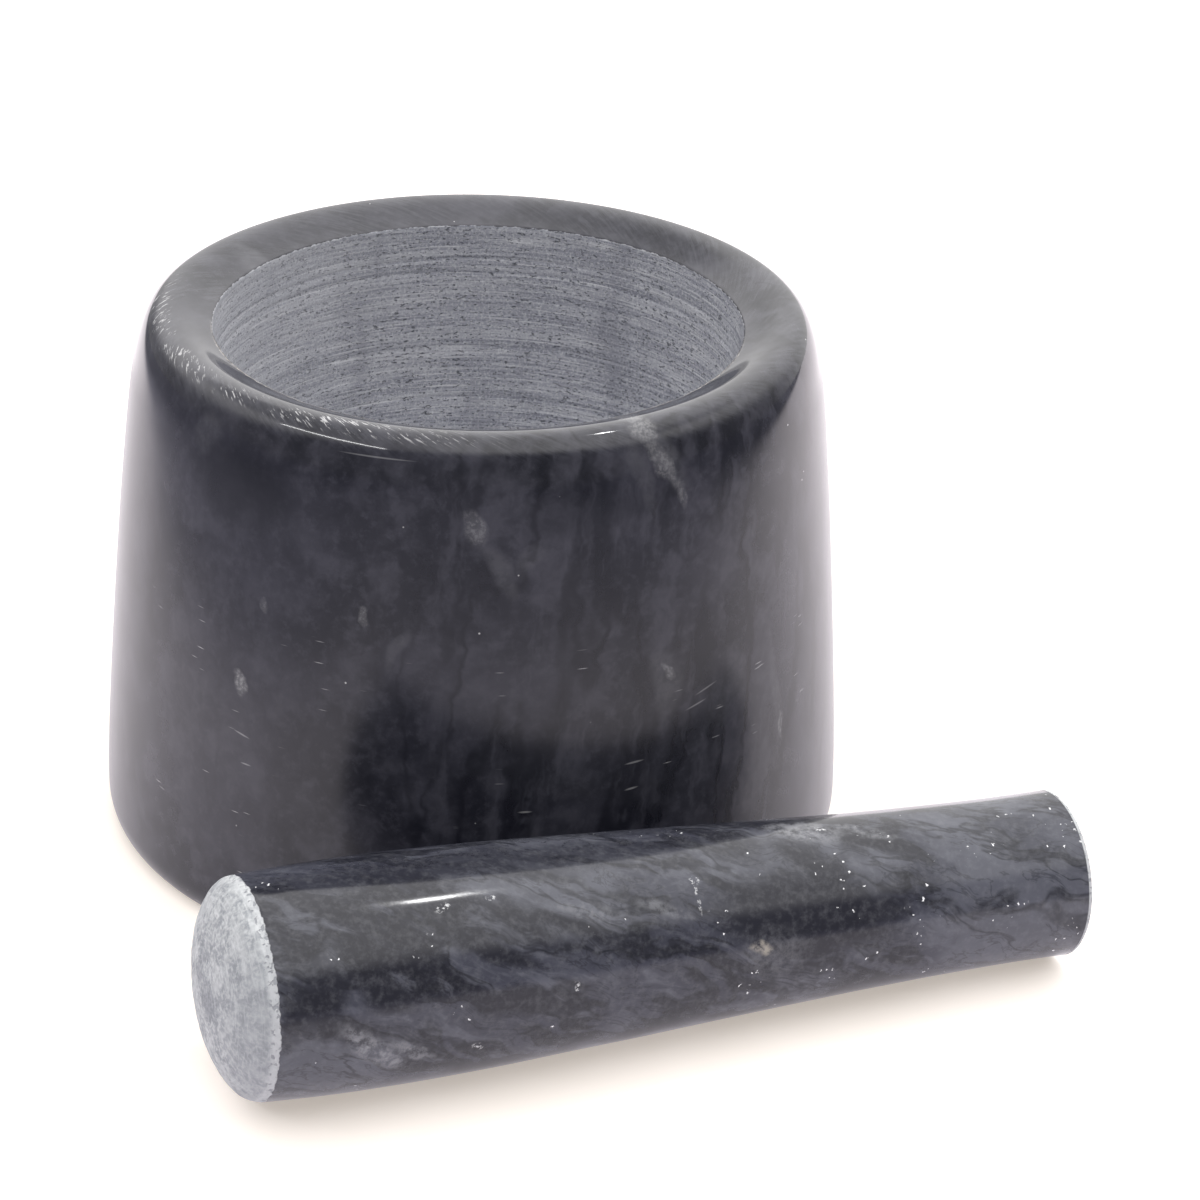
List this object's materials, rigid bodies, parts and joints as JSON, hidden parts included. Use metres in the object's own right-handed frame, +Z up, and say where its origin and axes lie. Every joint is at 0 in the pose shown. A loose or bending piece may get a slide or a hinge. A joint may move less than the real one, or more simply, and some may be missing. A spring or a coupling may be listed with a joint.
{
  "type": "mortar and pestle",
  "caption": "Thick-walled turned stone mortar with a steep round bowl, and a loose tapered stone pestle with a domed working end lying beside it.",
  "frame": {"origin": "middle of the mortar's flat base, on the surface it stands on", "axes": "+Z up along the mortar's turning axis; -Y is the side on which the pestle lies, its working end towards -X and its grip end towards +X"},
  "size_m": [0.1835, 0.1981, 0.1012],
  "materials": {
    "mortar_stone": "polished outside, turned matte bowl",
    "pestle_stone": "polished shaft, rough ground working end"
  },
  "bodies": {
    "mortar": {"mortar": "mortar_stone"},
    "pestle": {"pestle": "pestle_stone"}
  },
  "joints": [
    {"name": "pestle_lift", "type": "slide", "parent": "mortar", "child": "pestle", "axis": [0, 0, 1], "range_m": [0, 0.135]}
  ]
}
